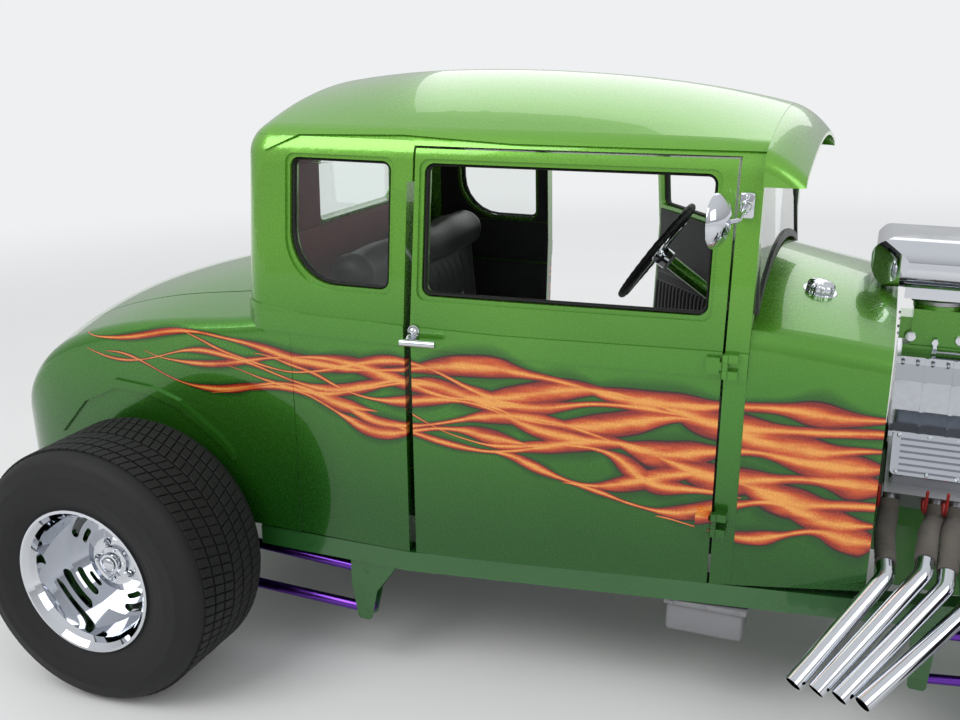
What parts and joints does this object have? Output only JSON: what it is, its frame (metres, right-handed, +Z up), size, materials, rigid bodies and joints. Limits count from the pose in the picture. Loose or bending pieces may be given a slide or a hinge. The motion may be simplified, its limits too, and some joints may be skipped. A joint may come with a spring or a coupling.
{
  "type": "fenderless five-window coupe hot rod with an open supercharged V8",
  "caption": "Hot rod coupe with a raked hollow cab, opening doors and deck lid, open blown V8, wide rear tyres, steered front wheels and free-turning wheels.",
  "frame": {"origin": "on the floor, on the car's centre plane, straight below the middle of the rear axle", "axes": "+X forward, +Y to the car's left, +Z up from the floor"},
  "size_m": [3.7327, 2.2844, 1.6551],
  "materials": {
    "green_paint": "metallic candy gloss",
    "frame_paint": "gloss",
    "dark_trim": "satin",
    "chrome": "mirror bright",
    "polished": "polished",
    "cast": "painted",
    "steel": "satin",
    "purple": "gloss",
    "glass": "clear",
    "tyre": "matt",
    "belt": "matt",
    "upholstery": "satin",
    "wrap": "matt"
  },
  "bodies": {
    "chassis": {"air_scoop": "chrome", "back_panel": "green_paint", "blower": "polished", "cab_glass": "glass", "carburettors": "cast", "cowl": "green_paint", "cylinder_heads": "cast", "dash": "green_paint", "drive_belt": "belt", "drive_pulleys": "polished", "drive_shaft": "steel", "engine_block": "cast", "floor": "dark_trim", "frame": "frame_paint", "front_axle": "chrome", "front_spring": "steel", "gearbox": "polished", "grille": "chrome", "grille_shell": "green_paint", "headers": "wrap", "headlamps": "chrome", "link_bars": "purple", "manifold": "polished", "quarter_left": "green_paint", "quarter_right": "green_paint", "radiator": "dark_trim", "rear_axle": "frame_paint", "roof": "green_paint", "seat": "upholstery", "steering_column": "green_paint", "tail_panel": "green_paint", "valve_covers": "chrome", "visor": "green_paint", "windscreen_frame": "chrome", "windscreen_glass": "glass"},
    "door_left": {"door_left": "green_paint", "handle_left": "chrome"},
    "door_right": {"door_right": "green_paint", "handle_right": "chrome"},
    "deck_lid": {"deck_lid": "green_paint"},
    "steering_wheel": {"steering_wheel": "dark_trim"},
    "knuckle_left": {"knuckle_left": "steel"},
    "knuckle_right": {"knuckle_right": "steel"},
    "tie_rod": {"tie_rod": "chrome"},
    "wheel_rear_left": {"rim_rear_left": "chrome", "tyre_rear_left": "tyre"},
    "wheel_rear_right": {"rim_rear_right": "chrome", "tyre_rear_right": "tyre"},
    "wheel_front_left": {"rim_front_left": "chrome", "tyre_front_left": "tyre"},
    "wheel_front_right": {"rim_front_right": "chrome", "tyre_front_right": "tyre"}
  },
  "joints": [
    {"name": "door_left_swing", "type": "hinge", "parent": "chassis", "child": "door_left", "pos_m": [1.61678, 0.59346, 0.76313], "axis": [0.0454, 0, 0.999], "range_deg": [-17, 48]},
    {"name": "door_right_swing", "type": "hinge", "parent": "chassis", "child": "door_right", "pos_m": [1.61678, -0.59346, 0.76313], "axis": [0.0454, 0, 0.999], "range_deg": [0, 65]},
    {"name": "deck_lid_lift", "type": "hinge", "parent": "chassis", "child": "deck_lid", "pos_m": [0.31141, 0, 1.12071], "axis": [0, 1, 0], "range_deg": [0, 50]},
    {"name": "steer_left", "type": "hinge", "parent": "chassis", "child": "knuckle_left", "pos_m": [2.75, 0.6, 0.298], "axis": [0, 0, 1], "range_deg": [-25, 25]},
    {"name": "steer_right", "type": "hinge", "parent": "chassis", "child": "knuckle_right", "pos_m": [2.75, -0.6, 0.298], "axis": [0, 0, 1], "range_deg": [-25, 25]},
    {"name": "tie_rod_pivot", "type": "hinge", "parent": "knuckle_left", "child": "tie_rod", "pos_m": [2.6, 0.6, 0.237], "axis": [0, 0, 1], "range_deg": [-25, 25]},
    {"name": "steering_wheel_turn", "type": "hinge", "parent": "chassis", "child": "steering_wheel", "pos_m": [1.27748, 0.3, 1.07284], "axis": [0.7964, 0, -0.6048], "range_deg": [-450, 450]},
    {"name": "roll_rear_left", "type": "hinge", "parent": "chassis", "child": "wheel_rear_left", "pos_m": [0, 0.849, 0.371], "axis": [0, 1, 0], "continuous": true},
    {"name": "roll_rear_right", "type": "hinge", "parent": "chassis", "child": "wheel_rear_right", "pos_m": [0, -0.849, 0.371], "axis": [0, 1, 0], "continuous": true},
    {"name": "roll_front_left", "type": "hinge", "parent": "knuckle_left", "child": "wheel_front_left", "pos_m": [2.75, 0.712, 0.318], "axis": [0, 1, 0], "continuous": true},
    {"name": "roll_front_right", "type": "hinge", "parent": "knuckle_right", "child": "wheel_front_right", "pos_m": [2.75, -0.712, 0.318], "axis": [0, 1, 0], "continuous": true}
  ],
  "couplings": [
    {"joint": "steer_right", "follows": "steer_left", "ratio": 1},
    {"joint": "tie_rod_pivot", "follows": "steer_left", "ratio": -1},
    {"joint": "steering_wheel_turn", "follows": "steer_left", "ratio": -18}
  ]
}
